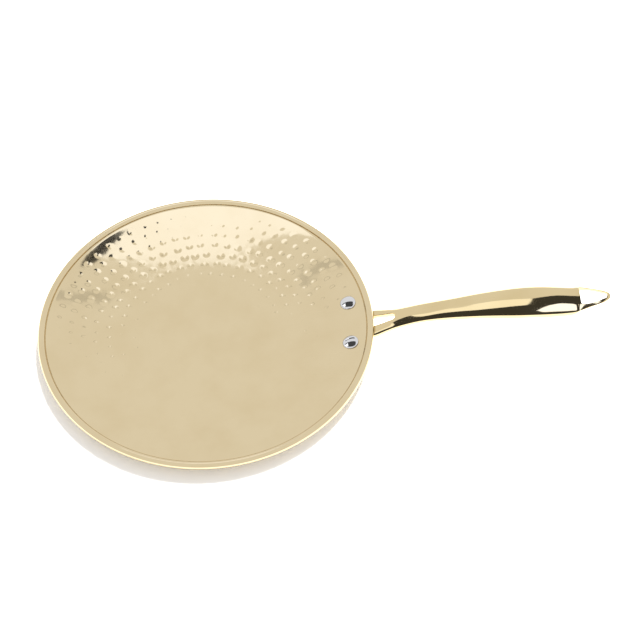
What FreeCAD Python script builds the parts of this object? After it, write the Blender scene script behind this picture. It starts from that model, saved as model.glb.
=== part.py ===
import FreeCAD, Part
import math
import os
import re

import Sketcher

# A hammered griddle pan (tawa): a shallow dish pressed from one sheet, with a rolled rim, and a cast
# handle whose forked root is riveted under the dish. Millimetres, +Z up. The origin is the centre of
# the dish's flat underside, on the surface that the pan stands on, and the handle points along +X.

DOC = FreeCAD.newDocument("griddle_pan")
SHEET = DOC.addObject("Spreadsheet::Sheet", "Sizes")

# Every alias has an underscore in it, which tells it from a function's name in an expression.
DRIVING_SIZES = {
    # the dish
    "pan_radius": 130.0,         # outside of the rolled rim
    "dish_drop": 10.0,           # from the middle of the rim's roll down to the cooking surface
    "sheet_gauge": 1.5,
    "flat_radius": 55.0,         # the dish is flat inside this radius
    "roll_radius": 3.0,          # outside of the rolled rim's section
    "lip_turn": 30.0,            # degrees that the roll's edge goes on past its lowest point
    # the rivets
    "rivet_inset": 6.43,         # from where the flange turns level inwards to the middle of both rivets
    "rivet_angle": 9.8,          # degrees between each rivet and the handle's axis
    "shank_radius": 2.5,
    "head_radius": 6.25,
    "head_edge": 0.5,
    "head_rise": 2.4,
    "tail_radius": 4.5,
    "tail_edge": 0.3,
    "tail_rise": 1.2,
    "hole_clearance": 0.05,      # between a shank and its holes, all round
    "rivet_seat": 0.15,          # a flat head stands this far off the middle of the curved metal
    # the handle's flange, under the dish
    "flange_gauge": 2.5,
    "flange_inner": 25.5,        # from the rim inwards to its inner edge
    "flange_outer": 4.0,         # from the rim inwards to its outer edge, which is under the roll
    "flange_angle": 28.0,        # degrees that it spans
    "seat_gap": 0.1,             # between the handle and the dish above it
    # the handle's fork
    "fork_mouth": -3.0,          # near end of the gap, measured outwards from the rim
    "fork_mouth_half": 5.1,
    "fork_crotch": 16.0,         # closed end of the gap, from the rim
    "fork_crotch_radius": 3.0,
    # the hollow in the handle's back
    "top_wall": 3.0,             # metal above it
    "side_wall": 4.6,            # metal beside it
    # the hanging loop: the grip's belly is cut away under it, from the "stop" section outwards
    "loop_under": 18.2,          # height of the loop's underside over the roll, where the belly stops
    "loop_under_tip": 20.5,      # and at the tip
    "hole_start": 157.4,         # its straight end, from the rim
    "hole_half": 7.6,
    "hole_shoulder": 175.4,      # where its sides meet the nose, from the rim
    "hole_nose_radius": 3.2,
    "hole_side_radius": 39.0,
}

# Sections along the handle. Each has its distance from the rim, its half width, and the heights of its
# crown, of its widest level and of its underside above the middle of the rim's roll.
COLUMNS = ("out", "half", "crown", "wide", "under")
GRIP_SECTIONS = {
    "seat": (-8.0, 12.8, -3.3, -5.5, -8.3),
    "root": (1.5, 12.4, -0.5, -3.9, -8.9),
    "fork": (13.0, 9.8, 3.9, -0.7, -4.3),
    "neck": (35.5, 8.8, 12.5, 6.6, 3.6),
    "waist": (58.5, 9.8, 17.9, 10.4, 7.1),
    "swell": (96.5, 13.3, 24.9, 15.3, 11.5),
    "palm": (122.0, 14.8, 26.7, 16.9, 12.3),
    "heel": (147.0, 13.7, 25.4, 16.3, 11.8),
    "stop": (155.0, 12.6, 24.9, 16.5, 12.3),
    "lug": (162.0, 10.4, 24.4, 19.7, 14.7),
    "taper": (172.0, 7.5, 23.9, 20.9, 17.7),
    "tip": (181.6, 2.0, 23.1, 21.5, 20.5),
}
HOLLOW_SECTIONS = ("neck", "waist", "swell", "palm", "heel")
OVERCUT = 5.0                    # a cutting tool starts this far outside the metal
HALF_ROUND = 1.0001              # a half circle's radius is a hair over half its chord, so that it exists

# Expressions that several pieces share, in the sheet's aliases.
ROLL_HEIGHT = "(sheet_gauge + dish_drop)"
ROLL_CENTRE = "(pan_radius - roll_radius)"
DISH_RUN = "(pan_radius - 2 * roll_radius - flat_radius)"
DISH_CURVE = "(({0} ^ 2 + dish_drop ^ 2) / (2 * dish_drop))".format(DISH_RUN)
CURVE_HEIGHT = "(sheet_gauge + {0})".format(DISH_CURVE)
FLANGE_TOP = "(sheet_gauge + seat_gap)"
SHELF = "({0} - roll_radius - seat_gap)".format(ROLL_HEIGHT)
SHELF_START = "(flat_radius + sqrt(({0} + {1}) ^ 2 - ({2} - {3}) ^ 2))".format(
    DISH_CURVE, FLANGE_TOP, CURVE_HEIGHT, SHELF)
RIVET_REACH = "({0} - rivet_inset)".format(SHELF_START)


def fill_sheet():
    """Put every driving dimension, and the five sizes of every section, in the spreadsheet."""
    rows = dict(DRIVING_SIZES)
    for name, values in GRIP_SECTIONS.items():
        for column, value in zip(COLUMNS, values):
            rows[name + "_" + column] = value
    for row, (alias, value) in enumerate(rows.items(), start=1):
        SHEET.set("A%d" % row, alias)
        SHEET.set("B%d" % row, str(value))
        SHEET.setAlias("B%d" % row, alias)
    DOC.recompute()


def bound(text):
    """The expression with the sheet's name before each alias, for setExpression."""
    return re.sub(r"\b([a-z]+_\w+)", r"Sizes.\1", text)


def value_of(text):
    """The number that an expression in the sheet's aliases gives now."""
    result = SHEET.evalExpression(text)
    return float(getattr(result, "Value", result))


def over_roll(text):
    """A height given over the middle of the rim's roll, as a height over the pan's underside."""
    return "({0} + {1})".format(ROLL_HEIGHT, text)


def curve_level(reach, extra="0"):
    """Height at a distance from the middle, on the dish's curve moved outwards by extra."""
    return "({0} - sqrt(({1} + {2}) ^ 2 - ({3} - flat_radius) ^ 2))".format(
        CURVE_HEIGHT, DISH_CURVE, extra, reach)


def half_round(radius):
    """The radius of an arc that is drawn as half a circle."""
    return "({0} * {1})".format(radius, HALF_ROUND)


def new_body(name):
    """A PartDesign body with a Label of its own."""
    body = DOC.addObject("PartDesign::Body", name)
    body.Label = name
    return body


def new_sketch(body, name, role, offset=None):
    """A sketch on one of the body's own origin planes, or offset along that plane's normal."""
    sketch = body.newObject("Sketcher::SketchObject", name)
    plane = [feature for feature in body.Origin.OriginFeatures if feature.Role == role][0]
    sketch.AttachmentSupport = (plane, [""])
    sketch.MapMode = "FlatFace"
    if offset:
        sketch.setExpression(".AttachmentOffset.Base.z", bound(offset))
    return sketch


def arc_edge(start, end, radius, sweep):
    """The arc between two points. Sweep says whether it bulges to the "right" or "left" of the way from
    start to end, and has the word "long" if the arc is more than half a circle."""
    chord = end - start
    across = FreeCAD.Vector(chord.y, -chord.x, 0).normalize()
    side = 1 if "right" in sweep else -1
    rise = math.sqrt(max(radius ** 2 - chord.Length ** 2 / 4, 0))
    sagitta = radius + rise if "long" in sweep else radius - rise
    middle = start + chord * 0.5 + across * side * sagitta
    return Part.Arc(start, middle, end) if side > 0 else Part.Arc(end, middle, start)


def draw_profile(sketch, corners, arcs):
    """Draw a closed outline. Each corner is a pair of expressions. Arcs gives, for the edge that starts
    at a corner of that number, its radius as an expression and its sweep; the other edges are lines.
    A sketch's arcs run anticlockwise, so one that bulges to the left is drawn from its end."""
    points = [FreeCAD.Vector(value_of(across), value_of(up), 0) for across, up in corners]
    for number, start in enumerate(points):
        following = (number + 1) % len(points)
        radius, sweep = arcs.get(number, ("0", "straight"))
        if number in arcs:
            sketch.addGeometry(arc_edge(start, points[following], value_of(radius), sweep), False)
            bind(sketch, Sketcher.Constraint("Radius", number, value_of(radius)), radius)
        else:
            sketch.addGeometry(Part.LineSegment(start, points[following]), False)
        first, last = (2, 1) if "left" in sweep else (1, 2)
        pin(sketch, number, first, corners[number])
        pin(sketch, number, last, corners[following])
    DOC.recompute()


def pin(sketch, edge, end, corner):
    """Hold one end of an edge at a pair of expressions."""
    for kind, text in zip(("DistanceX", "DistanceY"), corner):
        bind(sketch, Sketcher.Constraint(kind, edge, end, value_of(text)), text)


def bind(sketch, constraint, text):
    """Add a constraint and drive it by an expression."""
    number = sketch.addConstraint(constraint)
    sketch.setExpression("Constraints[%d]" % number, bound(text))


def revolve(body, sketch, degrees=None):
    """Revolve a sketch about the vertical axis: a full turn, or this angle with the sketch mid-way."""
    turn = body.newObject("PartDesign::Revolution", sketch.Name + "_turned")
    turn.Profile = sketch
    turn.ReferenceAxis = (sketch, ["V_Axis"])
    turn.Angle = 360
    if degrees:
        turn.setExpression("Angle", bound(degrees))
        turn.Midplane = True
    DOC.recompute()
    return turn


def rivet_places():
    """Name, and the rivet's frame: on the cooking surface, with +Z square to it, for each rivet."""
    reach = value_of(RIVET_REACH)
    lean = math.degrees(math.asin((reach - value_of("flat_radius")) / value_of(DISH_CURVE)))
    level = value_of(curve_level(RIVET_REACH))
    for name, side in (("rivet_left", 1), ("rivet_right", -1)):
        about = FreeCAD.Rotation(FreeCAD.Vector(0, 0, 1), side * value_of("rivet_angle"))
        tilt = FreeCAD.Rotation(FreeCAD.Vector(0, 1, 0), -lean)
        turn = about.multiply(tilt)
        seat = about.multVec(FreeCAD.Vector(reach, 0, level))
        yield name, FreeCAD.Placement(seat, turn)


def cut_rivet_holes(body):
    """A hole through the body for each rivet's shank."""
    depth = value_of("sheet_gauge + flange_gauge") + 2 * OVERCUT
    for name, place in rivet_places():
        hole = body.newObject("PartDesign::SubtractiveCylinder", body.Name + "_" + name + "_hole")
        hole.setExpression("Radius", bound("shank_radius + hole_clearance"))
        hole.Height = depth
        base = place.multVec(FreeCAD.Vector(0, 0, OVERCUT - depth))
        hole.Placement = FreeCAD.Placement(base, place.Rotation)
        DOC.recompute()


def make_dish():
    """The dish: a flat, a shallow curve, and a rim rolled outwards and back under itself."""
    body = new_body("pan_dish")
    sketch = new_sketch(body, "dish_section", "XZ_Plane")
    inner = "(roll_radius - sheet_gauge)"
    top_joint = "({0} - roll_radius)".format(ROLL_CENTRE)
    lip_cos = "sin(lip_turn * 1 deg)"
    lip_sin = "cos(lip_turn * 1 deg)"
    corners = [
        ("0", "0"),
        ("flat_radius", "0"),
        (top_joint, curve_level(top_joint, "sheet_gauge")),
        ("{0} - {1}".format(ROLL_CENTRE, inner), ROLL_HEIGHT),
        ("{0} - {1} * {2}".format(ROLL_CENTRE, inner, lip_cos),
         "{0} - {1} * {2}".format(ROLL_HEIGHT, inner, lip_sin)),
        ("{0} - roll_radius * {1}".format(ROLL_CENTRE, lip_cos),
         "{0} - roll_radius * {1}".format(ROLL_HEIGHT, lip_sin)),
        (top_joint, ROLL_HEIGHT),
        ("flat_radius", "sheet_gauge"),
        ("0", "sheet_gauge"),
    ]
    arcs = {
        1: (DISH_CURVE + " + sheet_gauge", "right"),
        3: (inner, "left long"),
        5: ("roll_radius", "right long"),
        6: (DISH_CURVE, "left"),
    }
    draw_profile(sketch, corners, arcs)
    revolve(body, sketch)
    cut_rivet_holes(body)
    return body


def section_sketch(body, prefix, name, corners, arcs):
    """A cross-section of the handle, square to its axis, at the named section's distance."""
    offset = "pan_radius + {0}_out".format(name)
    sketch = new_sketch(body, prefix + "_" + name, "YZ_Plane", offset)
    draw_profile(sketch, corners, arcs)
    return sketch


def outer_section(body, name):
    """A domed top over quarter-round lower corners and a flat underside."""
    half = name + "_half"
    crown, wide, under = (over_roll("{0}_{1}".format(name, column)) for column in COLUMNS[2:])
    dome = "(({0} ^ 2 + ({1} - {2}) ^ 2) / (2 * ({1} - {2})))".format(half, crown, wide)
    corner = "({0} - {1})".format(wide, under)
    corners = [
        ("-({0} - {1})".format(half, corner), under),
        ("{0} - {1}".format(half, corner), under),
        (half, wide),
        ("-" + half, wide),
    ]
    arcs = {1: (corner, "right"), 2: (dome, "right"), 3: (corner, "right")}
    return section_sketch(body, "grip", name, corners, arcs)


def hollow_section(body, name):
    """The same dome a wall's thickness inside, with straight sides down past the underside."""
    half = "({0}_half - side_wall)".format(name)
    rise = "({0}_crown - top_wall - {0}_wide)".format(name)
    floor = "{0} - {1}".format(over_roll(name + "_under"), OVERCUT)
    wide = over_roll(name + "_wide")
    dome = "(({0} ^ 2 + {1} ^ 2) / (2 * {1}))".format(half, rise)
    corners = [
        ("-" + half, floor),
        (half, floor),
        (half, wide),
        ("-" + half, wide),
    ]
    return section_sketch(body, "hollow", name, corners, {2: (dome, "right")})


def loft(body, kind, name, sketches):
    """A smooth loft through sketches, added or cut."""
    feature = body.newObject("PartDesign::" + kind, name)
    feature.Profile = sketches[0]
    feature.Sections = sketches[1:]
    feature.Ruled = False
    DOC.recompute()
    return feature


def add_flange(body):
    """The plate under the dish: its top follows the dish's underside, then stays level under the rim."""
    sketch = new_sketch(body, "flange_section", "XZ_Plane")
    inner = "(pan_radius - flange_inner)"
    outer = "(pan_radius - flange_outer)"
    bottom = "({0} + flange_gauge)".format(FLANGE_TOP)
    corners = [
        (inner, curve_level(inner, bottom)),
        (SHELF_START, curve_level(SHELF_START, bottom)),
        (outer, curve_level(SHELF_START, bottom)),
        (outer, SHELF),
        (SHELF_START, SHELF),
        (inner, curve_level(inner, FLANGE_TOP)),
    ]
    arcs = {
        0: ("{0} + {1}".format(DISH_CURVE, bottom), "right"),
        4: ("{0} + {1}".format(DISH_CURVE, FLANGE_TOP), "left"),
    }
    draw_profile(sketch, corners, arcs)
    revolve(body, sketch, "flange_angle")


def cut_through(body, name, role, corners, arcs):
    """Cut an outline on one of the body's origin planes right through it, both ways."""
    sketch = new_sketch(body, name + "_outline", role)
    draw_profile(sketch, corners, arcs)
    before = body.Shape.Volume
    pocket = body.newObject("PartDesign::Pocket", name)
    pocket.Profile = sketch
    pocket.Type = "ThroughAll"
    pocket.Midplane = True
    DOC.recompute()
    if body.Shape.Volume >= before:
        raise RuntimeError(name + " cut nothing")


def cut_fork(body):
    """The gap between the fork's two arms, tapering to a round crotch."""
    mouth = "pan_radius + fork_mouth"
    bend = "pan_radius + fork_crotch - fork_crotch_radius"
    corners = [
        (mouth, "-fork_mouth_half"),
        (bend, "-fork_crotch_radius"),
        (bend, "fork_crotch_radius"),
        (mouth, "fork_mouth_half"),
    ]
    cut_through(body, "fork_gap", "XY_Plane", corners, {1: (half_round("fork_crotch_radius"), "right")})


def cut_hole(body):
    """The hanging hole: one straight end, bowed sides and a round nose."""
    start = "pan_radius + hole_start"
    shoulder = "pan_radius + hole_shoulder"
    corners = [
        (start, "hole_half"),
        (start, "-hole_half"),
        (shoulder, "-hole_nose_radius"),
        (shoulder, "hole_nose_radius"),
    ]
    arcs = {
        1: ("hole_side_radius", "right"),
        2: (half_round("hole_nose_radius"), "right"),
        3: ("hole_side_radius", "right"),
    }
    cut_through(body, "hanging_hole", "XY_Plane", corners, arcs)


def cut_belly(body):
    """The space under the hanging loop, where the grip's belly has stopped."""
    start = "pan_radius + stop_out"
    end = "pan_radius + tip_out + {0}".format(OVERCUT)
    corners = [
        (start, "-{0}".format(OVERCUT)),
        (end, "-{0}".format(OVERCUT)),
        (end, over_roll("loop_under_tip")),
        (start, over_roll("loop_under")),
    ]
    cut_through(body, "belly_end", "XZ_Plane", corners, {})


def clear_rim(body):
    """Cut the handle back from the rolled rim that lies over the fork's arms."""
    rim = body.newObject("PartDesign::SubtractiveTorus", "rim_clearance")
    rim.setExpression("Radius1", bound(ROLL_CENTRE))
    rim.setExpression("Radius2", bound("roll_radius + seat_gap"))
    rim.setExpression(".Placement.Base.z", bound(ROLL_HEIGHT))
    DOC.recompute()


def make_handle():
    """The handle: a domed grip with a hollow back, a forked root on a flange, and a hanging loop."""
    body = new_body("handle")
    loft(body, "AdditiveLoft", "grip", [outer_section(body, name) for name in GRIP_SECTIONS])
    cut_belly(body)
    add_flange(body)
    loft(body, "SubtractiveLoft", "hollow", [hollow_section(body, name) for name in HOLLOW_SECTIONS])
    cut_fork(body)
    cut_hole(body)
    clear_rim(body)
    cut_rivet_holes(body)
    return body


def make_rivet(name, place):
    """A solid rivet: a domed head on the cooking surface, a shank, and a low tail under the flange."""
    body = new_body(name)
    sketch = new_sketch(body, name + "_section", "XZ_Plane")
    tail = "-(sheet_gauge + seat_gap + flange_gauge + 2 * rivet_seat)"
    head_dome = "((head_radius ^ 2 + (head_rise - head_edge) ^ 2) / (2 * (head_rise - head_edge)))"
    tail_dome = "((tail_radius ^ 2 + (tail_rise - tail_edge) ^ 2) / (2 * (tail_rise - tail_edge)))"
    corners = [
        ("0", "head_rise"),
        ("0", "{0} - tail_rise".format(tail)),
        ("tail_radius", "{0} - tail_edge".format(tail)),
        ("tail_radius", tail),
        ("shank_radius", tail),
        ("shank_radius", "0"),
        ("head_radius", "0"),
        ("head_radius", "head_edge"),
    ]
    draw_profile(sketch, corners, {1: (tail_dome, "right"), 7: (head_dome, "right")})
    revolve(body, sketch)
    lift = place.Rotation.multVec(FreeCAD.Vector(0, 0, value_of("rivet_seat")))
    body.Placement = FreeCAD.Placement(place.Base + lift, place.Rotation)
    return body


def check_document(bodies):
    """Stop if any object failed to compute, or a sub-part isn't one valid solid."""
    DOC.recompute()
    for item in DOC.Objects:
        if "Invalid" in item.State or "Error" in item.State:
            raise RuntimeError(item.Name + " did not compute")
    for body in bodies:
        shape = body.Shape
        if shape.isNull() or not shape.isValid() or len(shape.Solids) != 1:
            raise RuntimeError(body.Label + " is not one valid solid")


def write_parts(bodies):
    """Write each sub-part to parts/, in a file named by its Label."""
    os.makedirs("parts", exist_ok=True)
    for body in bodies:
        body.Shape.exportStep("parts/" + body.Label + ".step")
        print(body.Label, "volume", round(body.Shape.Volume, 1), "box", body.Shape.BoundBox)


def main():
    fill_sheet()
    bodies = [make_dish(), make_handle()]
    bodies += [make_rivet(name, place) for name, place in rivet_places()]
    check_document(bodies)
    write_parts(bodies)


main()
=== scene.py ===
import bpy
import numpy as np
from mathutils import Matrix, Vector


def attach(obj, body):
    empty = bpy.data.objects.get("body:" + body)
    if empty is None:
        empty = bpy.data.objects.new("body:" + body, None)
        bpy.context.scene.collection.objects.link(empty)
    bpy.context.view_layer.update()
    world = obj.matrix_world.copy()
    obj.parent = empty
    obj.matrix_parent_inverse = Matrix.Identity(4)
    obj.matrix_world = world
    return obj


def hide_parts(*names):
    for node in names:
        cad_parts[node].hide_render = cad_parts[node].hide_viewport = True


# A hammered griddle pan: a thin dish in mirror-polished, gold-coated steel with a rolled rim, a cast handle
# that forks at the pan and ends in a hanging loop, and two bright rivets. Metres, in the CAD's frame: the
# origin is the middle of the pan's underside, +X runs along the handle and +Z is up.

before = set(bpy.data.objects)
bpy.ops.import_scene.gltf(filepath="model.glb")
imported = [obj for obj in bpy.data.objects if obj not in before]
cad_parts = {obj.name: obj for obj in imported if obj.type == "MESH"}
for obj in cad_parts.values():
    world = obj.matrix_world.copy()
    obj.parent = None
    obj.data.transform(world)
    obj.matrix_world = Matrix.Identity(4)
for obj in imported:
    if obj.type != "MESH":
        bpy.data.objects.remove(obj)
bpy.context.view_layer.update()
MM = 0.001

# ---------------------------------------------------------------- sizes, in millimetres
PAN_RADIUS = 130.0
ROLL_RADIUS = 3.0
SHEET_GAUGE = 1.5
DISH_DROP = 10.0                       # from the middle of the rim's roll down to the cooking surface
FLAT_RADIUS = 55.0                     # the underside is flat inside this radius
ROLL_HEIGHT = SHEET_GAUGE + DISH_DROP
ROLL_CENTRE = PAN_RADIUS - ROLL_RADIUS
DISH_RUN = PAN_RADIUS - 2 * ROLL_RADIUS - FLAT_RADIUS
DISH_CURVE = (DISH_RUN ** 2 + DISH_DROP ** 2) / (2 * DISH_DROP)
CURVE_HEIGHT = SHEET_GAUGE + DISH_CURVE
RIVET_REACH = 112.5
RIVET_ANGLE = np.radians(9.8)
RIVET_LEAN = np.arcsin((RIVET_REACH - FLAT_RADIUS) / DISH_CURVE)

# Rings of hammer marks from the middle outwards: (radius of the ring, marks on it, their mean depth).
MARK_RINGS = ((6.0, 4, 0.02), (16.5, 11, 0.02), (26.5, 17, 0.02), (36.5, 23, 0.025), (46.5, 30, 0.035),
              (57.0, 40, 0.05), (67.0, 44, 0.065), (76.5, 50, 0.08), (86.5, 54, 0.085), (96.5, 60, 0.085),
              (106.5, 62, 0.085), (115.3, 62, 0.08))
MARK_BAND = 7.0                        # no mark reaches further from its ring than this
MARK_WIDTH, MARK_WIDTH_SPREAD = 2.9, 0.45
MARK_SIDE_SPREAD, MARK_OUT_SPREAD = 0.13, 0.8      # a share of the pitch along the ring, and across it
MARK_DEPTH_SPREAD = 0.35               # a share of the mean depth
MARK_POWER = 1.35
FILLET_RADIUS = 0.7                    # where the dish's curve meets the roll
LIP_ANGLE, LIP_ROUND = -120.0, 0.45    # where the roll's edge is cut, and how far its middle stands out

# The rivets: a domed head on the dish, a shank, and a low tail under the handle's flange.
HEAD_RADIUS, HEAD_RISE, HEAD_TOP = 6.25, 1.75, 2.4
HEAD_EDGE = 0.3                        # rounding of the head's edge
SHANK_RADIUS, TAIL_SEAT = 2.5, -4.95
RIVET_LIFT = 0.1                       # from the smooth dish up to the head's seat


# ---------------------------------------------------------------- the studio, in metres
FLOOR_GLOW = 0.12                      # white added to the floor's own colour where the eye or a mirror sees it
FLOOR_GAIN = 1.5                       # the floor's colour to the eye, so that only deep shadow shows on it
ROOM_LIGHT = 0.5                       # the room's share of the light on a matt surface
LAMP_PLACE, LAMP_SIZE, LAMP_WATTS = (0.40, 0.70, 1.45), 0.6, 52.0
FLOOR_REACH, FLOOR_LEVEL = 6.0, -0.0002
CAMERA_DOWN, CAMERA_TURN = 52.4, 2.2   # degrees below level, and from the pan's crosswise axis
CAMERA_AWAY, CAMERA_RIGHT, CAMERA_UP = 1.1, 0.08026, 0.01148
CAMERA_LENS, CAMERA_SENSOR = 82.39355, 36.0        # millimetres

# Softboxes and flags that only the polished pieces mirror: (name, shape, share of the room let through,
# glow, the pieces that the glow falls on). A flat shape gives its height and its corners' (x, y) in metres.
# A curved one is 3 to 5 m from the handle's middle and made of strips, each a list of (turn, left, right)
# in degrees: the turn goes from the front's horizon at 0 over the top at 90 to the back's at 180, and left
# and right are the sideways angles of the strip's two edges there. The corners are set so that the mirror
# images of the cards end where they should on the pan. A card whose share and glow add up to about 1 is a
# dark flag to the other pieces and looks like the white room to the pieces named.
HANDLE_MIDDLE = (0.235, 0.0, 0.03)
NOTCH = [(46, -16, -12), (50, -19.5, -8), (56, -22.5, -4), (61, -24.8, 0), (65, -26, 5), (70, -27.2, 6.3)]
CARDS = (
    ("softbox_over_dish", (1.0, [
        (0.14, 0.30), (0.14, 0.46), (0.03, 0.562), (-0.007, 0.588), (-0.028, 0.618), (-0.050, 0.655),
        (-0.057, 0.685), (-0.064, 0.65), (-0.068, 0.61), (-0.092, 0.552), (-0.143, 0.497), (-0.20, 0.50),
        (-0.26, 0.30)]), 1.0, (0.44, 0.52, 0.76), "dish"),
    ("flag_behind_dish", (0.98, [
        (0.047, 0.445), (0.047, 0.49), (0.051, 0.52), (0.065, 0.548), (0.095, 0.538), (0.088, 0.49),
        (0.085, 0.445)]), 0.04, (0.96, 0.96, 0.96), "handle rivets"),
    ("softbox_frame_left", (0.96, [
        (0.14, 0.595), (0.056, 0.615), (0.008, 0.625), (-0.026, 0.65), (-0.020, 0.662), (0.010, 0.645),
        (0.058, 0.638), (0.14, 0.622)]), 0.72, (0.25, 0.25, 0.25), "handle rivets"),
    ("softbox_frame_right", (0.94, [
        (-0.084, 0.64), (-0.104, 0.605), (-0.15, 0.56), (-0.25, 0.53), (-0.25, 0.558), (-0.15, 0.584),
        (-0.112, 0.62), (-0.092, 0.65)]), 0.72, (0.25, 0.25, 0.25), "handle rivets"),
    ("flag_beside_handle", (5.0, [
        [(-12, -60, 34), (4, -60, 34), (18, -60, 34), (32, -60, 34), (46, -60, 34)],
        [(46, -60, -16), (50, -58, -19.5), (56, -56, -22.5), (62, -54, -25), (68, -52, -26.8),
         (76, -50, -28.5), (85, -50, -30.5), (88, -50, -34)],
        [(46, -12, 34), (50, -8, 34), (56, -4, 34), (61, 0, 34), (65, 5, 34), (82, 7, 34), (99, 8, 34),
         (106, 12, 34), (112, 16, 34), (117, 20, 34), (123, 32, 34)]]), 0.06, (0.94, 0.94, 0.94), "dish rivets"),
    ("softbox_over_handle", (4.0, [
        NOTCH, [(70, -27.2, -21), (75, -28.4, -24), (79, -29.4, -27), (84, -30.4, -29.5)],
        [(70, -18, 6.3), (74, -16, 6.6), (83, -14.5, 7), (92, -13, 7.5), (97, -8, 8), (99, 0, 8)]]),
     1.0, (0.44, 0.47, 0.52), "handle"),
    ("card_beside_loop", (3.0, [[(26, 13, 23), (36, 9.5, 25), (46, 12, 27), (61, 16.5, 27), (70, 22, 27)]]),
     1.0, (1.7, 1.9, 2.6), "handle"),
)
# Each rivet has a flag that is dark to the rivets alone and a bright card below it, both flat. The outlines
# are the left rivet's, and the right's are moved sideways by the rivets' spacing.
RIVET_FLAG = [(0.0705, 0.0335), (0.100, 0.0295), (0.1205, 0.0283), (0.1205, 0.0093), (0.1005, 0.0093),
              (0.0705, 0.0163)]
RIVET_CARD = [(0.0745, 0.0235), (0.0975, 0.0240), (0.0975, 0.0139), (0.0885, 0.0131)]
RIVET_SPACING = 0.0382
RIVET_CARDS = (("left", 0.0, 0.030, 0.0260), ("right", RIVET_SPACING, 0.0305, 0.0255))  # flag, card height


# ---------------------------------------------------------------- small tools
def smooth_through(places, values, at):
    """A natural cubic spline: a cubic between each two places, with slope and curvature the same on both
    sides of every place and no curvature at the ends, read at the places given."""
    x, y = np.asarray(places, float), np.asarray(values, float)
    gap = np.diff(x)
    rise = np.diff(y) / gap
    size = len(x)
    table = np.eye(size)
    right = np.zeros(size)
    inner = np.arange(1, size - 1)
    table[inner, inner - 1] = gap[:-1]
    table[inner, inner] = 2 * (gap[:-1] + gap[1:])
    table[inner, inner + 1] = gap[1:]
    right[inner] = 6 * np.diff(rise)
    bend = np.linalg.solve(table, right)
    at = np.clip(np.asarray(at, float), x[0], x[-1])
    k = np.clip(np.searchsorted(x, at) - 1, 0, size - 2)
    ahead, behind = x[k + 1] - at, at - x[k]
    return (bend[k] * ahead ** 3 + bend[k + 1] * behind ** 3) / (6 * gap[k]) + \
        (y[k] / gap[k] - bend[k] * gap[k] / 6) * ahead + \
        (y[k + 1] / gap[k] - bend[k + 1] * gap[k] / 6) * behind


def scatter(*keys):
    """A repeatable number between -1 and 1 for each set of keys: the fraction of a large sine."""
    total = sum(np.asarray(key, float) * weight for key, weight in zip(keys, (12.9898, 78.233, 37.719)))
    wave = np.sin(total) * 43758.5453
    return 2 * (wave - np.floor(wave)) - 1


def grid_faces(rows, columns, closed_rows=False, closed_columns=False):
    """The quads of a grid of points numbered row by row, each turned from row to row then along it."""
    i = np.arange(rows if closed_rows else rows - 1)
    j = np.arange(columns if closed_columns else columns - 1)
    i, j = np.meshgrid(i, j, indexing="ij")
    below, beside = (i + 1) % rows, (j + 1) % columns
    quads = np.stack([i * columns + j, below * columns + j, below * columns + beside, i * columns + beside], -1)
    return quads.reshape(-1, 4)


def make_piece(name, points, triangles, quads, material, nodes):
    """A smooth mesh in metres from points in millimetres, riding on the pan in place of its CAD nodes."""
    mesh = bpy.data.meshes.new(name)
    corners = np.concatenate([triangles.reshape(-1), quads.reshape(-1)]).astype(np.int32)
    sizes = np.concatenate([np.full(len(triangles), 3), np.full(len(quads), 4)]).astype(np.int32)
    starts = np.concatenate([[0], np.cumsum(sizes)[:-1]]).astype(np.int32)
    mesh.vertices.add(len(points))
    mesh.vertices.foreach_set("co", (points * MM).astype(np.float32).reshape(-1))
    mesh.loops.add(len(corners))
    mesh.loops.foreach_set("vertex_index", corners)
    mesh.polygons.add(len(sizes))
    mesh.polygons.foreach_set("loop_start", starts)
    mesh.polygons.foreach_set("use_smooth", np.ones(len(sizes), bool))
    mesh.update(calc_edges=True)
    mesh.validate()
    piece = bpy.data.objects.new(name, mesh)
    bpy.context.scene.collection.objects.link(piece)
    mesh.materials.append(material)
    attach(piece, "root")
    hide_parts(*nodes)
    return piece


# ---------------------------------------------------------------- the dish
def mark_depths(x, y):
    """Depth of the hammer marks at places on the dish. Each mark is a round bowl of depth times
    (1 - (distance / reach) squared) to the power 1.35, on rings about the middle, with its own small wander,
    reach and depth. A place takes the sum over the marks nearest to it on every ring."""
    radius, turn = np.hypot(x, y), np.arctan2(y, x)
    depth = np.zeros_like(x)
    for ring, (ring_radius, count, mean_depth) in enumerate(MARK_RINGS):
        near = np.abs(radius - ring_radius) < MARK_BAND
        px, py = x[near], y[near]
        pitch = 2 * np.pi / count
        start = 2.4 * ring + 0.35
        nearest = np.round((turn[near] - start) / pitch)
        for step in (-1, 0, 1):
            mark = np.mod(nearest + step, count)
            angle = start + mark * pitch + MARK_SIDE_SPREAD * pitch * scatter(ring, mark, 1)
            reach = ring_radius + MARK_OUT_SPREAD * scatter(ring, mark, 2)
            width = MARK_WIDTH + MARK_WIDTH_SPREAD * scatter(ring, mark, 3)
            bowl = mean_depth * (1 + MARK_DEPTH_SPREAD * scatter(ring, mark, 4))
            away = np.hypot(px - reach * np.cos(angle), py - reach * np.sin(angle)) / width
            depth[near] += bowl * np.clip(1 - away ** 2, 0, None) ** MARK_POWER
    return depth


def dish_level(radius):
    """Height of the cooking surface before hammering. It leaves the middle level and steepens with the
    square of the distance, so that it meets the rim's roll at half its height."""
    return SHEET_GAUGE + DISH_DROP * (radius / (PAN_RADIUS - 2 * ROLL_RADIUS)) ** 3


def arc_points(centre, radius, start, end, count):
    """Points along an arc, as (distance out, height) pairs."""
    turn = np.radians(np.linspace(start, end, count))
    return np.stack([centre[0] + radius * np.cos(turn), centre[1] + radius * np.sin(turn)], -1)


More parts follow.
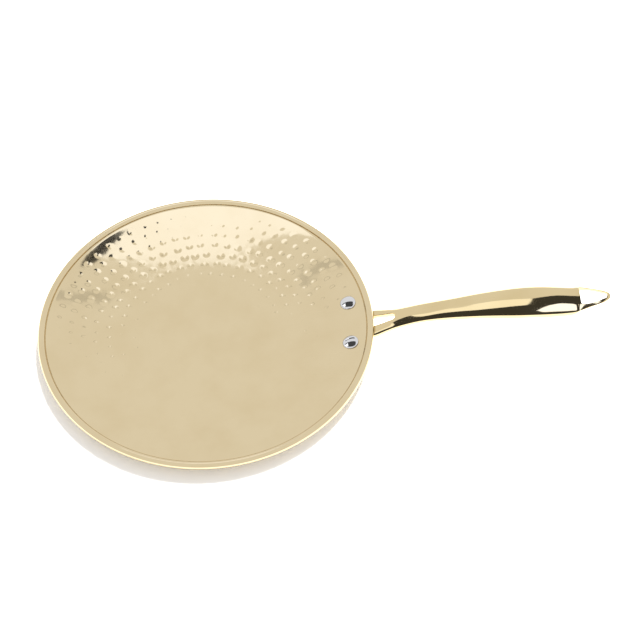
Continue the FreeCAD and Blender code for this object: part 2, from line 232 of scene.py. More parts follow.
def dish_profile(first_radius):
    """The section from the edge of the hammered disc outwards, over the roll, round its lip and back
    along the underside to near the middle, as (distance out, height) pairs."""
    out = PAN_RADIUS - 2 * ROLL_RADIUS
    slope = 3 * DISH_DROP / out
    # the fillet's circle touches the roll from outside and the end of the dish's curve from above
    across = np.linspace(110, out, 400)
    lean = np.arctan(slope * (across / out) ** 2)
    shifted = np.stack([across - FILLET_RADIUS * np.sin(lean),
                        dish_level(across) + FILLET_RADIUS * np.cos(lean)], -1)
    from_roll = np.hypot(shifted[:, 0] - ROLL_CENTRE, shifted[:, 1] - ROLL_HEIGHT)
    apart = from_roll - (ROLL_RADIUS + FILLET_RADIUS)
    touch = int(np.argmin(np.abs(apart)))
    centre = shifted[touch]
    toward_roll = np.degrees(np.arctan2(ROLL_HEIGHT - centre[1], ROLL_CENTRE - centre[0]))
    toward_dish = -90 + np.degrees(lean[touch])
    margin_radii = np.linspace(first_radius, across[touch], 4)[1:-1]
    margin = np.stack([margin_radii, dish_level(margin_radii)], -1)
    fillet_arc = arc_points(centre, FILLET_RADIUS, toward_dish, toward_roll, 6)
    roll_centre = (ROLL_CENTRE, ROLL_HEIGHT)
    roll = arc_points(roll_centre, ROLL_RADIUS, toward_roll + 180, LIP_ANGLE, 22)[1:]
    inner = ROLL_RADIUS - SHEET_GAUGE
    lip = arc_points(roll_centre, (ROLL_RADIUS + inner) / 2, LIP_ANGLE, LIP_ANGLE, 1)
    cut = np.radians(LIP_ANGLE)
    lip += LIP_ROUND * np.array([[np.sin(cut), -np.cos(cut)]])
    curl = arc_points(roll_centre, inner, LIP_ANGLE, 175, 9)
    under_radii = np.array([123.0, 118, 112, 104, 94, 84, 74, 64, FLAT_RADIUS, 30])
    past_flat = np.clip(under_radii - FLAT_RADIUS, 0, None)
    low = CURVE_HEIGHT - np.sqrt((DISH_CURVE + SHEET_GAUGE) ** 2 - past_flat ** 2)
    under = np.stack([under_radii, np.maximum(low, 0)], -1)
    return np.concatenate([margin, fillet_arc, roll, lip, curl, under])


def build_dish(material):
    """The hammered disc is rings of points, 6k of them on ring k, joined by triangles that stay nearly
    equal-sided. Its last ring carries the section on outwards, round the roll and back underneath."""
    rings, spacing = 136, 0.879
    k = np.repeat(np.arange(1, rings + 1), 6 * np.arange(1, rings + 1))
    first = 1 + 3 * k * (k - 1)
    step = np.arange(1, len(k) + 1) - first
    turn = 2 * np.pi * step / (6 * k)
    x = np.concatenate([[0], k * spacing * np.cos(turn)])
    y = np.concatenate([[0], k * spacing * np.sin(turn)])
    z = dish_level(np.hypot(x, y)) - mark_depths(x, y)
    disc = np.stack([x, y, z], -1)
    # outward-pointing triangles stand on ring k - 1's edges, the others on ring k's
    sector, place = step // k, step % k
    inner_first = 1 + 3 * (k - 1) * (k - 2)
    inner_count = 6 * (k - 1)
    outer_next = first + (step + 1) % (6 * k)
    inner_step = sector * (k - 1) + place
    inner_wrap = np.maximum(inner_count, 1)
    inner_here = np.where(k > 1, inner_first + inner_step % inner_wrap, 0)
    inner_here_next = np.where(k > 1, inner_first + (inner_step - 1) % inner_wrap, 0)
    edge_triangles = np.stack([first + step, outer_next, inner_here], -1)
    between = place > 0
    gap_triangles = np.stack([first + step, inner_here, inner_here_next], -1)[between]
    triangles = np.concatenate([edge_triangles, gap_triangles])

    edge_count = 6 * rings
    around = 2 * np.pi * np.arange(edge_count) / edge_count
    profile = dish_profile(rings * spacing)
    rows = np.stack([np.outer(profile[:, 0], np.cos(around)), np.outer(profile[:, 0], np.sin(around)),
                     np.repeat(profile[:, 1:2], edge_count, 1)], -1).reshape(-1, 3)
    edge_start = 1 + 3 * rings * (rings - 1)
    points = np.concatenate([disc, rows, [[0, 0, 0]]])
    quads = grid_faces(len(profile) + 1, edge_count, closed_columns=True) + edge_start
    last = edge_start + len(profile) * edge_count
    here = np.arange(edge_count)
    cap = np.stack([last + here, np.full(edge_count, len(points) - 1), last + (here + 1) % edge_count], -1)
    return make_piece("pan_dish_hammered", points, np.concatenate([triangles, cap]), quads, material,
                      ["pan_dish"])


# ---------------------------------------------------------------- the handle
# Stations along the handle, measured from the middle of the pan: (distance, crown, underside, corner
# radius), with heights above the base.
HANDLE_STATIONS = np.array([
    (118.0, 7.6, 3.0, 2.2),
    (122.0, 8.3, 2.9, 2.4),
    (131.5, 11.0, 2.9, 3.6),
    (143.0, 15.4, 7.0, 3.4),
    (154.0, 20.0, 11.4, 3.1),
    (165.5, 24.0, 15.1, 3.0),
    (188.5, 29.4, 18.6, 3.3),
    (208.0, 33.4, 21.4, 3.6),
    (226.5, 36.4, 23.0, 3.9),
    (252.0, 38.15, 23.8, 4.5),
    (268.0, 37.7, 23.6, 4.5),
    (277.0, 36.9, 23.5, 4.4),
    (285.0, 36.4, 23.8, 4.2),
    (292.0, 35.95, 24.0, 4.0),
    (302.0, 35.3, 24.4, 3.8),
    (311.6, 34.5, 25.0, 3.6),
])
# The outline's half widths, measured from the middle of the pan: (distance, half width).
OUTLINE = np.array([
    (118.0, 12.6), (122.0, 12.8), (131.5, 12.4), (137.0, 11.1), (143.0, 9.8), (153.0, 9.0), (165.5, 8.8),
    (188.5, 9.8), (208.0, 11.6), (226.5, 13.3), (240.0, 14.4), (252.0, 14.8), (266.0, 14.5), (277.0, 13.7),
    (285.0, 12.6), (292.0, 10.5), (298.0, 8.5), (304.0, 6.6), (308.5, 4.4), (310.6, 2.6), (311.35, 1.2),
    (311.6, 0.0),
])
LOOP_UNDER, LOOP_UNDER_TIP = 29.7, 32.0
BELLY_STOP, BELLY_ROUND = 285.6, 6.5
FORK_MOUTH, FORK_MOUTH_HALF, FORK_CROTCH, FORK_RADIUS = 127.0, 5.1, 146.0, 3.0
HOLE_START, HOLE_HALF, HOLE_SHOULDER, HOLE_NOSE = 287.4, 7.6, 305.4, 3.2
TIP, TIP_ROUND, TIP_LEVEL = 311.6, 3.4, 33.2        # where the tip ends, begins to close, and closes to
HOLLOW_START, HOLLOW_RISE, HOLLOW_END, HOLLOW_FALL, SIDE_WALL = 127.0, 4.0, 279.5, 7.0, 4.6
TOP_WALL = ((131.0, 142.7, 150.0, 165.0), (4.2, 2.2, 2.5, 3.0))       # distance, thickness over the hollow


def outline_curve(at):
    """The handle's edge as (distance, half width) at shares of its length: a smooth curve through the
    outline's places, timed by the straight distance between them."""
    steps = np.hypot(*np.diff(OUTLINE, axis=0).T)
    length = np.concatenate([[0], np.cumsum(steps)])
    return smooth_through(length, OUTLINE[:, 0], at * length[-1]), \
        smooth_through(length, OUTLINE[:, 1], at * length[-1])


EDGE_FINE = outline_curve(np.linspace(0, 1, 4001))


def half_width(x):
    """Half the handle's width at a distance from the middle of the pan."""
    return np.interp(x, EDGE_FINE[0], EDGE_FINE[1])


def section_at(x):
    """Crown, underside and corner radius at a distance. The belly's end rises to the loop's underside along
    a quarter of an ellipse, and the tip closes as half an ellipse."""
    crown = smooth_through(HANDLE_STATIONS[:, 0], HANDLE_STATIONS[:, 1], x)
    under = smooth_through(HANDLE_STATIONS[:, 0], HANDLE_STATIONS[:, 2], x)
    corner = smooth_through(HANDLE_STATIONS[:, 0], HANDLE_STATIONS[:, 3], x)
    loop_under = LOOP_UNDER + (LOOP_UNDER_TIP - LOOP_UNDER) * (x - BELLY_STOP) / (TIP - BELLY_STOP)
    into = np.clip((x - BELLY_STOP + BELLY_ROUND) / BELLY_ROUND, 0, 1)
    lift = 1 - np.sqrt(np.clip(1 - into ** 2, 0, 1))
    under = under + (loop_under - under) * lift
    corner = corner + (1.0 - corner) * lift
    nose = np.clip((x - TIP + TIP_ROUND) / TIP_ROUND, 0, 1)
    shut = np.sqrt(np.clip(1 - nose ** 2, 0, 1))
    crown = TIP_LEVEL + (crown - TIP_LEVEL) * shut
    under = TIP_LEVEL + (under - TIP_LEVEL) * shut
    return crown, under, np.minimum(corner * (0.15 + 0.85 * shut), 0.499 * (crown - under) + 1e-4)


def top_level(x, y):
    """Height of the handle's top. A dome's circle meets a small corner circle, tangent to it, which turns
    down to the widest level; the dome's radius follows from the crown, the half width and the corner."""
    crown, under, corner = section_at(x)
    half = np.maximum(half_width(x), 1e-3)
    corner = np.minimum(corner, 0.6 * half)
    a = half - corner
    k = under + corner - crown
    dome = (corner ** 2 - k ** 2 - a ** 2) / (2 * (k + corner) - 1e-6)
    dome = np.maximum(dome, half + 1e-3)
    centre = crown - dome
    meet = a * dome / np.maximum(dome - corner, 1e-3)
    on_dome = centre + np.sqrt(np.clip(dome ** 2 - y ** 2, 0, None))
    on_corner = under + corner + np.sqrt(np.clip(corner ** 2 - (y - a) ** 2, 0, None))
    return np.where(y < meet, on_dome, on_corner)


def under_level(x, y):
    """Height of the handle's underside: level, then a quarter circle up to the widest level."""
    crown, under, corner = section_at(x)
    half = np.maximum(half_width(x), 1e-3)
    corner = np.minimum(corner, 0.6 * half)
    over = np.clip(y - (half - corner), 0, corner)
    return under + corner - np.sqrt(np.clip(corner ** 2 - over ** 2, 0, None))


def inner_path():
    """The inner edge of the handle's half: out round the fork's gap, along the axis, out round the hanging
    hole and on to the tip. Gives (distance, side) pairs."""
    turn = np.linspace(0, np.pi / 2, 9)
    mouth_side = np.linspace(0, 1, 9)[:, None]
    bend = FORK_CROTCH - FORK_RADIUS
    fork = np.concatenate([
        np.array([[118.0, 0], [121.0, 0], [124.0, 0], [126.0, 0]]),
        np.stack([np.full(4, FORK_MOUTH), np.array([0, 1.7, 3.4, 4.7])], -1),
        np.array([[FORK_MOUTH, FORK_MOUTH_HALF]]) * (1 - mouth_side)
        + np.array([[bend, FORK_RADIUS]]) * mouth_side,
        np.stack([bend + FORK_RADIUS * np.sin(turn), FORK_RADIUS * np.cos(turn)], -1)[1:],
    ])
    grip = np.stack([np.linspace(FORK_CROTCH + 0.4, HOLE_START - 0.6, 116), np.zeros(116)], -1)
    corner, bow = 1.1, 1.05            # the hole's corner radius, and how far its sides stand out
    corner_turn = np.linspace(0, np.pi / 2, 5)
    start = np.stack([np.full(6, HOLE_START), np.linspace(0, HOLE_HALF - corner, 6)], -1)
    rounding = np.stack([HOLE_START + corner * (1 - np.cos(corner_turn)),
                         HOLE_HALF - corner + corner * np.sin(corner_turn)], -1)[1:]
    share = np.linspace(0, 1, 15)
    side = np.stack([HOLE_START + corner + (HOLE_SHOULDER - HOLE_START - corner) * share,
                     HOLE_HALF + (HOLE_NOSE - HOLE_HALF) * share], -1)
    side[:, 1] += 4 * bow * share * (1 - share)
    nose = np.stack([HOLE_SHOULDER + HOLE_NOSE * np.sin(turn), HOLE_NOSE * np.cos(turn)], -1)[1:]
    tip = np.stack([np.linspace(HOLE_SHOULDER + HOLE_NOSE + 0.25, TIP, 9), np.zeros(9)], -1)
    path = np.concatenate([fork, grip, start, rounding, side[1:], nose, tip])
    path[path[:, 1] < 1e-6, 1] = 0.0
    return path


def build_handle(material):
    """Half the handle is a sheet ruled from its inner edge to its outline, with a top and an underside at
    heights worked out from the place in plan, joined by a wall where there is a gap or a hole. The other
    half is its mirror image, and the two share their points on the axis."""
    inner = inner_path()
    count = len(inner)
    number = np.arange(count)
    # where the inner edge runs square to the axis or round a nose, its partners move on evenly
    knots = np.array([0, 3, 8, 16, 24, 26, 138, 144, 150, 164, 172, count - 1])
    before_hole, tail_start = inner[138, 0] - 1.2, 309.3
    reach = np.array([118.0, 122.0, 126.5, 141.5, 148.0, 149.6, before_hole, 287.6, 291.0, 304.3,
                      tail_start, TIP])
    outer_x = np.interp(number, knots, reach)
    tail_turn = np.linspace(0, 1, count - 172)
    outer_x[172:] = tail_start + (TIP - tail_start) * np.sin(tail_turn * np.pi / 2)
    outer = np.stack([outer_x, half_width(outer_x)], -1)
    outer[-1] = (TIP, 0)

    half = np.maximum(outer[:, 1], 1e-3)
    crown, under, corner = section_at(outer[:, 0])
    corner = np.minimum(corner, 0.6 * half)
    gap = np.maximum(outer[:, 1] - inner[:, 1], 1e-4)

    edge = 0.45
    quarter = np.radians(np.array([90.0, 72, 54, 38, 24, 12, 0]))
    rim_share = (half[:, None] - corner[:, None] * (1 - np.cos(quarter)) - inner[:, 1:2]) / gap[:, None]
    rim_share = np.clip(rim_share, 0.45, 1)
    bevel_end = np.minimum(edge, gap / 4) / gap
    bevel = np.stack([np.zeros(count), 0.29 * bevel_end, bevel_end], -1)
    middle = np.linspace(0, 1, 14)[1:-1][None]
    middle = bevel[:, 2:] + (rim_share[:, :1] - bevel[:, 2:]) * middle
    top_share = np.concatenate([bevel, middle, rim_share], 1)

    holed = inner[:, 1] > 0
    has_wall = holed.copy()
    has_wall[1:] |= holed[:-1]
    has_wall[:-1] |= holed[1:]
    drop = np.array([edge, 0.29 * edge, 0])[None] * has_wall[:, None]

    def place(share):
        plan = inner[:, None, :] + (outer - inner)[:, None, :] * share[:, :, None]
        return plan[..., 0], plan[..., 1]

    tx, ty = place(top_share)
    tz = top_level(tx, ty)
    tz[:, :3] -= drop
    # the underside: corner, level ground, the hollow's wall and its ceiling
    wall_y = np.clip(half - SIDE_WALL, 0.3 * half, None)
    wall_share = np.clip((wall_y - inner[:, 1]) / gap, 0.35, 0.8)
    lower_rim = rim_share[:, ::-1][:, 1:]
    ground = lower_rim[:, -1:] + (wall_share[:, None] + 0.03 - lower_rim[:, -1:]) * np.array([[0.5, 1.0]])
    wall = wall_share[:, None] + np.array([[0.012, 0.0, -0.012, -0.04]])
    ceiling_start = wall_share[:, None] - 0.04
    ceiling = np.maximum(ceiling_start * np.array([[0.8, 0.55, 0.3]]),
                         bevel[:, 2:] + (ceiling_start - bevel[:, 2:]) * np.array([[0.75, 0.5, 0.25]]))
    low_share = np.concatenate([lower_rim, ground, wall, ceiling, bevel[:, ::-1]], 1)
    ux, uy = place(low_share)
    uz = under_level(ux, uy)
    opens = np.clip((inner[:, 0] - HOLLOW_START) / HOLLOW_RISE, 0, 1)
    closes = np.clip((HOLLOW_END - inner[:, 0]) / HOLLOW_FALL, 0, 1)
    ends = opens * closes
    ends = ends * ends * (3 - 2 * ends)
    columns = low_share.shape[1]
    start = lower_rim.shape[1] + 2
    sink = np.zeros(columns)
    sink[start:start + 4] = (0.06, 0.5, 0.94, 1.0)
    sink[start + 4:] = 1.0
    wall_depth = np.interp(inner[:, 0], *TOP_WALL)[:, None]
    ceiling_level = np.minimum(top_level(ux, uy), crown[:, None]) - wall_depth
    uz = uz + (np.maximum(ceiling_level, uz) - uz) * ends[:, None] * sink[None]
    uz[:, -3:] += drop[:, ::-1]

    # the wall between the two inner edges
    wall_steps = np.array([0.25, 0.5, 0.75])[None]
    wz = uz[:, -1:] + (tz[:, :1] - uz[:, -1:]) * wall_steps
    wx = np.repeat(inner[:, :1], 3, 1)
    wy = np.repeat(inner[:, 1:], 3, 1)

    loop_x = np.concatenate([tx, ux, wx], 1)
    loop_y = np.concatenate([ty, uy, wy], 1)
    loop_z = np.concatenate([tz, uz, wz], 1)
    width = loop_x.shape[1]
    right_half = np.stack([loop_x, loop_y, loop_z], -1)

    quads = grid_faces(count, width, closed_columns=True)
    column = np.tile(np.arange(width), count - 1)
    row = np.repeat(np.arange(count - 1), width)
    wall_first = tx.shape[1] + ux.shape[1] - 1
    inside = (column >= wall_first) & ~(holed[row] | holed[row + 1])
    quads = quads[~inside]

    points = right_half.reshape(-1, 3)
    mirrored = points * np.array([1, -1, 1])
    total = len(points)
    on_axis = np.abs(points[:, 1]) < 1e-6
    twin = np.where(on_axis, np.arange(total), np.arange(total) + total)
    faces = np.concatenate([quads, twin[quads][:, ::-1]])
    everything = np.concatenate([points, mirrored])

    # close the root with a fan about the middle of each half's end loop
    end_loop = np.arange(wall_first + 1)
    middle_point = np.array([[inner[0, 0], 0, 0.5 * (loop_z[0, 0] + loop_z[0, wall_first])]])
    hub = len(everything)
    everything = np.concatenate([everything, middle_point])
    first, second = end_loop[:-1], end_loop[1:]
    fan = np.stack([np.full(len(first), hub), first, second], -1)
    fans = np.concatenate([fan, np.stack([np.full(len(first), hub), twin[second], twin[first]], -1)])

    flange_points, flange_quads = flange_shell()
    flange_quads = flange_quads + len(everything)
    everything = np.concatenate([everything, flange_points])
    quads = np.concatenate([faces, flange_quads])
    points, triangles, quads = weld(everything, fans, quads)
    return make_piece("pan_handle_cast", points, triangles, quads, material, ["handle"])


def weld(points, triangles, quads):
    """Merge points that lie within a thousandth of a millimetre, and drop the faces that this leaves with
    fewer than three corners and the points that no face uses."""
    keys = np.round(points * 1000).astype(np.int64)
    _, first, back = np.unique(keys, axis=0, return_index=True, return_inverse=True)
    back = back.reshape(-1)
    points, triangles, quads = points[first], back[triangles], back[quads]
    a, b, c, d = quads.T
    whole = (a != b) & (b != c) & (c != d) & (d != a) & (a != c) & (b != d)
    cut = [quads[(a == b) & (b != c) & (c != d) & (d != a)][:, [1, 2, 3]],
           quads[(b == c) & (a != b) & (c != d) & (d != a)][:, [0, 1, 3]],
           quads[(c == d) & (a != b) & (b != c) & (d != a)][:, [0, 1, 2]],
           quads[(d == a) & (a != b) & (b != c) & (c != d)][:, [0, 1, 2]]]
    a, b, c = triangles.T
    triangles = np.concatenate([triangles[(a != b) & (b != c) & (c != a)]] + cut)
    quads = quads[whole]
    used = np.unique(np.concatenate([triangles.reshape(-1), quads.reshape(-1)]))
    renumber = np.zeros(len(points), np.int64)
    renumber[used] = np.arange(len(used))
    return points[used], renumber[triangles], renumber[quads]


def flange_shell():
    """The plate under the dish that the rivets hold: its top follows the dish's underside, then stays level
    under the rim, and its section is carried round the pan and drawn in towards both ends, which rounds
    its corners in plan."""
    gauge, seat, edge_round = 2.5, 0.1, 0.9
    inner_radius, outer_radius, corner, span = 104.5, 126.0, 4.0, 13.9
    shelf = ROLL_HEIGHT - ROLL_RADIUS - seat
    offset = DISH_CURVE + SHEET_GAUGE + seat
    radii = np.linspace(0, 1, 19)
    angles = np.concatenate([np.linspace(-span, -span + 1.9, 8), np.linspace(-span + 2.6, span - 2.6, 25),
                             np.linspace(span - 1.9, span, 8)])
    from_end = np.radians(span - np.abs(angles)) * 115.0
    pull = corner - np.sqrt(np.clip(corner ** 2 - np.clip(corner - from_end, 0, None) ** 2, 0, None))
    low = inner_radius + pull
    high = outer_radius - pull
    radius = low[:, None] + (high - low)[:, None] * radii[None]
    curve = CURVE_HEIGHT - np.sqrt(offset ** 2 - (radius - FLAT_RADIUS) ** 2)
    top = np.minimum(curve, shelf)
    edge = np.minimum(np.minimum(radii, 1 - radii) * (outer_radius - inner_radius), edge_round)[None]
    round_off = edge_round - np.sqrt(np.clip(edge_round ** 2 - (edge_round - edge) ** 2, 0, None))
    bottom_curve = CURVE_HEIGHT - np.sqrt((offset + gauge) ** 2 - (radius - FLAT_RADIUS) ** 2)
    bottom = np.minimum(bottom_curve, shelf - gauge) + round_off
    turn = np.radians(angles)[:, None]
    x, y = radius * np.cos(turn), radius * np.sin(turn)
    # section loop: along the bottom outwards, up, and back along the top
    loop = np.concatenate([np.stack([x, y, bottom], -1), np.stack([x, y, top], -1)[:, ::-1]], 1)
    count, width = loop.shape[:2]
    quads = grid_faces(count, width, closed_columns=True)
    n = len(radii)
    here = np.arange(n - 1)
    cap = np.stack([here, here + 1, width - 2 - here, width - 1 - here], -1)
    far = (count - 1) * width
    return loop.reshape(-1, 3), np.concatenate([quads, cap, far + cap[:, ::-1]])


# ---------------------------------------------------------------- the rivets
def build_rivet(side, name, node, material):
    """One section turned about the rivet's axis: a domed head whose edge is rounded over, a shank, and the
    low tail set under the flange. The axis stands square to the dish's wall."""
    ball = (HEAD_RADIUS ** 2 + HEAD_RISE ** 2) / (2 * HEAD_RISE)
    widest = np.arcsin((HEAD_RADIUS - 0.35) / ball)
    dome_turn = np.linspace(0, 1, 15)[:, None] * widest
    dome = np.concatenate([ball * np.sin(dome_turn), HEAD_TOP - ball * (1 - np.cos(dome_turn))], 1)
    edge_turn = np.radians(np.linspace(55, -80, 8))[:, None]
    edge = np.concatenate([HEAD_RADIUS - HEAD_EDGE + HEAD_EDGE * np.cos(edge_turn),
                           0.33 + HEAD_EDGE * np.sin(edge_turn)], 1)
    shank = np.array([[5.6, 0.02], [SHANK_RADIUS, 0.0], [SHANK_RADIUS, TAIL_SEAT]])
    tail = np.array([[4.2, -0.02], [4.5, -0.15], [4.45, -0.4], [3.6, -0.8], [2.2, -1.08], [0.0, -1.2]])
    section = np.concatenate([dome, edge, shank, tail + np.array([[0, TAIL_SEAT]])])
    section[0, 0] = 0.0
    around = np.linspace(0, 2 * np.pi, 97)[:-1]
    ring = np.stack([np.outer(section[:, 0], np.cos(around)), np.outer(section[:, 0], np.sin(around)),
                     np.repeat(section[:, 1:], len(around), 1)], -1)
    quads = grid_faces(len(section), len(around), closed_columns=True)
    stand = Matrix.Rotation(side * RIVET_ANGLE, 3, "Z") @ Matrix.Rotation(-RIVET_LEAN, 3, "Y")
    level = dish_level(RIVET_REACH)
    centre = Matrix.Rotation(side * RIVET_ANGLE, 3, "Z") @ Vector((RIVET_REACH, 0, level))
    points = ring.reshape(-1, 3)
    points[:, 2] += RIVET_LIFT
    points = points @ np.array(stand).T + np.array(centre)
    points, triangles, quads = weld(points, np.zeros((0, 3), int), quads)
    return make_piece(name, points, triangles, quads, material, [node])


# ---------------------------------------------------------------- materials
def linear(code):
    """An sRGB hex colour as linear red, green, blue and alpha."""
    parts = np.array([int(code[i:i + 2], 16) for i in (1, 3, 5)]) / 255
    parts = np.where(parts <= 0.04045, parts / 12.92, ((parts + 0.055) / 1.055) ** 2.4)
    return (*parts.tolist(), 1.0)


def add(tree, kind, settings=None, links=None):
    """A node of one kind with its own settings, its sockets' values, and links from other sockets."""
    node = tree.nodes.new(kind)
    for key, value in (settings or {}).items():
        if isinstance(key, str) and hasattr(node, key):
            setattr(node, key, value)
        else:
            node.inputs[key].default_value = value
    for key, source in (links or {}).items():
        tree.links.new(source, node.inputs[key])
    return node


PATCH_MM, SWELL_MM = 28, 9             # the tone's soft patches and the sheet's faint swell


def polished_metal(name, code, worn_code, grain_mm, roughness, ripple):
    """A polished metal: its colour wanders slightly towards a worn tone in soft patches, and fine polishing
    scratches, drawn coarse enough to show, change its roughness and tilt its surface a little."""
    material = bpy.data.materials.new(name)
    material.use_nodes = True
    tree = material.node_tree
    tree.nodes.clear()
    place = add(tree, "ShaderNodeTexCoord").outputs["Object"]
    patches = add(tree, "ShaderNodeTexNoise", {"Scale": 1 / (PATCH_MM * MM), "Detail": 3.0}, {"Vector": place})
    drift = add(tree, "ShaderNodeMapRange", {1: 0.40, 2: 0.75, 3: 0.0, 4: 0.5},
                {0: patches.outputs["Fac"]})
    tone = add(tree, "ShaderNodeMix", {"data_type": "RGBA", 6: linear(code), 7: linear(worn_code)},
               {0: drift.outputs[0]})
    stretched = add(tree, "ShaderNodeMapping", {"Scale": (1.0, 6.0, 1.0), "Rotation": (0, 0, 0.5)},
                    {"Vector": place})
    scratches = add(tree, "ShaderNodeTexNoise", {"Scale": 1 / (grain_mm * MM), "Detail": 4.0, "Roughness": 0.7},
                    {"Vector": stretched.outputs[0]})
    rough = add(tree, "ShaderNodeMapRange", {1: 0.35, 2: 0.8, 3: roughness * 0.7, 4: roughness * 1.6},
                {0: scratches.outputs["Fac"]})
    swell = add(tree, "ShaderNodeTexNoise", {"Scale": 1 / (SWELL_MM * MM), "Detail": 1.0}, {"Vector": place})
    bump = add(tree, "ShaderNodeBump", {"Strength": 1.0, "Distance": ripple * MM},
               {"Height": swell.outputs["Fac"]})
    shader = add(tree, "ShaderNodeBsdfPrincipled", {"Metallic": 1.0},
                 {"Base Color": tone.outputs[2], "Roughness": rough.outputs[0], "Normal": bump.outputs[0]})
    add(tree, "ShaderNodeOutputMaterial", {}, {"Surface": shader.outputs[0]})
    return material


# ---------------------------------------------------------------- stage, lights and camera
def plain_material(name):
    """An empty material and its node tree."""
    material = bpy.data.materials.new(name)
    material.use_nodes = True
    material.node_tree.nodes.clear()
    return material, material.node_tree


def floor_paint():
    """Matt white floor paint. The eye sees it lighter than it is, and eye and mirrors see a faint white glow
    on it, so that only the deeper part of the pan's shadow shows."""
    material, tree = plain_material("matt_white_floor_paint")
    rays = add(tree, "ShaderNodeLightPath").outputs
    seen = add(tree, "ShaderNodeMath", {"operation": "MAXIMUM"},
               {0: rays["Is Camera Ray"], 1: rays["Is Glossy Ray"]})
    seen = add(tree, "ShaderNodeMath", {"operation": "MAXIMUM"},
               {0: seen.outputs[0], 1: rays["Is Transmission Ray"]}).outputs[0]
    strength = add(tree, "ShaderNodeMath", {"operation": "MULTIPLY", 1: FLOOR_GLOW}, {0: seen})
    glow = add(tree, "ShaderNodeEmission", {"Color": (1, 1, 1, 1)}, {"Strength": strength.outputs[0]})
    tone = add(tree, "ShaderNodeMapRange", {1: 0.0, 2: 1.0, 3: 1.0, 4: FLOOR_GAIN}, {0: rays["Is Camera Ray"]})
    paint = add(tree, "ShaderNodeBsdfDiffuse", {}, {"Color": tone.outputs[0]})
    both = add(tree, "ShaderNodeAddShader", {}, {0: glow.outputs[0], 1: paint.outputs[0]})
    add(tree, "ShaderNodeOutputMaterial", {}, {"Surface": both.outputs[0]})
    return material


def stage_sheet(name, corners, faces, material):
    """Flat-faced studio furniture from its corners in metres."""
    mesh = bpy.data.meshes.new(name)
    mesh.from_pydata(np.asarray(corners, float).tolist(), [], np.asarray(faces).tolist())
    sheet = bpy.data.objects.new(name, mesh)
    bpy.context.scene.collection.objects.link(sheet)
    mesh.materials.append(material)
    return sheet


def build_floor():
    """A square of floor just under the pan's base."""
    sides = ((-1, -1), (1, -1), (1, 1), (-1, 1))
    corners = [(x * FLOOR_REACH, y * FLOOR_REACH, FLOOR_LEVEL) for x, y in sides]
    stage_sheet("studio_floor", corners, [(0, 1, 2, 3)], floor_paint())


def card_mesh(shape):
    """Corners and faces of a card: one flat face, or strips of a sphere round the handle, each with seven
    points from its left edge to its right."""
    size, outline = shape
    if len(outline[0]) == 2:
        return [(x, y, size) for x, y in outline], [tuple(range(len(outline)))]
    corners, faces, first = [], [], 0
    for strip in outline:
        turn, left, right = np.radians(np.array(strip, float)).T[:, :, None]
        side = left + (right - left) * np.linspace(0, 1, 7)
        turn = np.broadcast_to(turn, side.shape)
        toward = np.stack([np.sin(side), -np.cos(side) * np.cos(turn), np.cos(side) * np.sin(turn)], -1)
        corners.append(size * toward.reshape(-1, 3) + np.array(HANDLE_MIDDLE))
        faces.append(grid_faces(len(strip), 7) + first)
        first += 7 * len(strip)
    return np.concatenate(corners), np.concatenate(faces)


def mirror_card(name, shape, through, glow, pieces):
    """A softbox or flag that only polished surfaces see: it gives them something to mirror and leaves the
    floor's light and the picture's background alone. Its glow falls on the pieces given only, which no
    real softbox can do: each piece has reflections of its own."""
    material, tree = plain_material(name)
    clear = add(tree, "ShaderNodeBsdfTransparent", {"Color": (through, through, through, 1)})
    light = add(tree, "ShaderNodeEmission", {"Color": (*glow, 1), "Strength": 1.0})
    both = add(tree, "ShaderNodeAddShader", {}, {0: clear.outputs[0], 1: light.outputs[0]})
    add(tree, "ShaderNodeOutputMaterial", {}, {"Surface": both.outputs[0]})
    sheet = stage_sheet(name, *card_mesh(shape), material)
    sheet.visible_camera = sheet.visible_diffuse = sheet.visible_shadow = False
    sheet.visible_transmission = False
    lit = bpy.data.collections.new(name + "_lights")
    for piece in pieces:
        lit.objects.link(piece)
    sheet.light_linking.receiver_collection = lit


def build_cards(groups):
    """The softboxes and flags round the pan, each with the pieces that it lights."""
    for name, shape, through, glow, lit in CARDS:
        mirror_card(name, shape, through, glow, [piece for group in lit.split() for piece in groups[group]])
    for side, shift, flag_height, card_height in RIVET_CARDS:
        flag = [(x, y - shift) for x, y in RIVET_FLAG]
        card = [(x, y - shift) for x, y in RIVET_CARD]
        mirror_card("flag_over_" + side + "_rivet", (flag_height, flag), 0.08, (0.92, 0.92, 0.92),
                    groups["dish"] + groups["handle"])
        mirror_card("card_" + side + "_rivet", (card_height, card), 1.0, (1.6, 1.6, 1.6), groups["rivets"])


def build_world():
    """A white room. Mirrors, glass and the eye see it at full white; the light it sheds is shared with one
    soft lamp."""
    world = bpy.data.worlds.new("studio_room")
    bpy.context.scene.world = world
    world.use_nodes = True
    tree = world.node_tree
    tree.nodes.clear()
    rays = add(tree, "ShaderNodeLightPath").outputs
    lit = add(tree, "ShaderNodeMapRange", {1: 0.0, 2: 1.0, 3: 1.0, 4: ROOM_LIGHT}, {0: rays["Is Diffuse Ray"]})
    background = add(tree, "ShaderNodeBackground", {"Color": (1, 1, 1, 1)}, {"Strength": lit.outputs[0]})
    add(tree, "ShaderNodeOutputWorld", {}, {"Surface": background.outputs[0]})


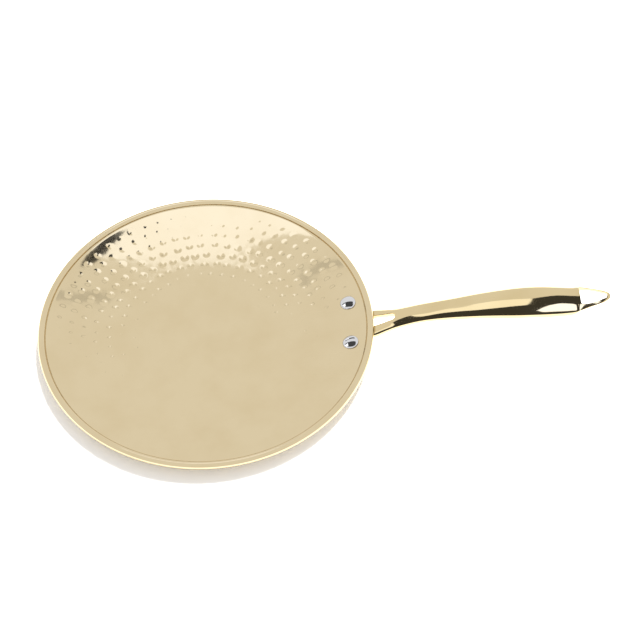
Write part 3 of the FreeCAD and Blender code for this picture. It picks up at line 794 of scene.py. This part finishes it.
def build_lamp(blockers):
    """A soft round lamp behind the pan on the right, which gives the dish its shadow. Only the blockers
    cast one."""
    lamp = bpy.data.lights.new("soft_lamp", "AREA")
    lamp.shape = "DISK"
    lamp.size = LAMP_SIZE
    lamp.energy = LAMP_WATTS
    holder = bpy.data.objects.new("soft_lamp", lamp)
    holder.location = LAMP_PLACE
    holder.rotation_euler = (-Vector(LAMP_PLACE)).to_track_quat("-Z", "Y").to_euler()
    holder.visible_glossy = holder.visible_camera = holder.visible_transmission = False
    bpy.context.scene.collection.objects.link(holder)
    shading = bpy.data.collections.new("lamp_blockers")
    for piece in blockers:
        shading.objects.link(piece)
    holder.light_linking.blocker_collection = shading


def build_camera():
    """The camera looks down from the front, a little turned from the pan's crosswise axis. It is placed at
    a distance from the middle of the rim, then moved sideways and up so that the whole pan is in view."""
    down, turn = np.radians(CAMERA_DOWN), np.radians(CAMERA_TURN)
    forward = Vector((np.sin(turn) * np.cos(down), np.cos(turn) * np.cos(down), -np.sin(down)))
    right = Vector((np.cos(turn), -np.sin(turn), 0))
    up = right.cross(forward)
    place = Vector((0, 0, ROLL_HEIGHT * MM)) - CAMERA_AWAY * forward + CAMERA_RIGHT * right + CAMERA_UP * up
    data = bpy.data.cameras.new("view_camera")
    data.sensor_width = CAMERA_SENSOR
    data.lens = CAMERA_LENS
    data.clip_start, data.clip_end = 0.05, 50
    camera = bpy.data.objects.new("view_camera", data)
    camera.matrix_world = Matrix((
        (right.x, up.x, -forward.x, place.x),
        (right.y, up.y, -forward.y, place.y),
        (right.z, up.z, -forward.z, place.z),
        (0, 0, 0, 1)))
    bpy.context.scene.collection.objects.link(camera)
    bpy.context.scene.camera = camera


bpy.context.scene.view_settings.view_transform = "Standard"
build_camera()
build_world()
build_floor()
# Stainless sheet, hammered, polished and coated: to the eye a pale gold mirror, broken by the marks.
gold_sheet = polished_metal("gold_coated_steel_hammered_and_polished", "#DAC9A5", "#D2BF98", 0.8, 0.05, 0.02)
# Stainless casting, polished and coated: the same gold, smooth, with long clear reflections.
gold_casting = polished_metal("gold_coated_steel_cast_and_polished", "#DAC79C", "#D0BB8C", 0.8, 0.06, 0.01)
# Stainless wire, cold headed and polished, not coated: to the eye a cooler, slightly softer grey mirror.
bright_steel = polished_metal("bright_steel_headed_and_polished", "#D8D8DA", "#C9C9CC", 0.6, 0.08, 0.01)
groups = {
    "dish": [build_dish(gold_sheet)],
    "handle": [build_handle(gold_casting)],
    "rivets": [build_rivet(1, "rivet_left_domed", "rivet_left", bright_steel),
               build_rivet(-1, "rivet_right_domed", "rivet_right", bright_steel)],
}
build_cards(groups)
build_lamp(groups["dish"] + groups["rivets"])

bpy.context.view_layer.update()
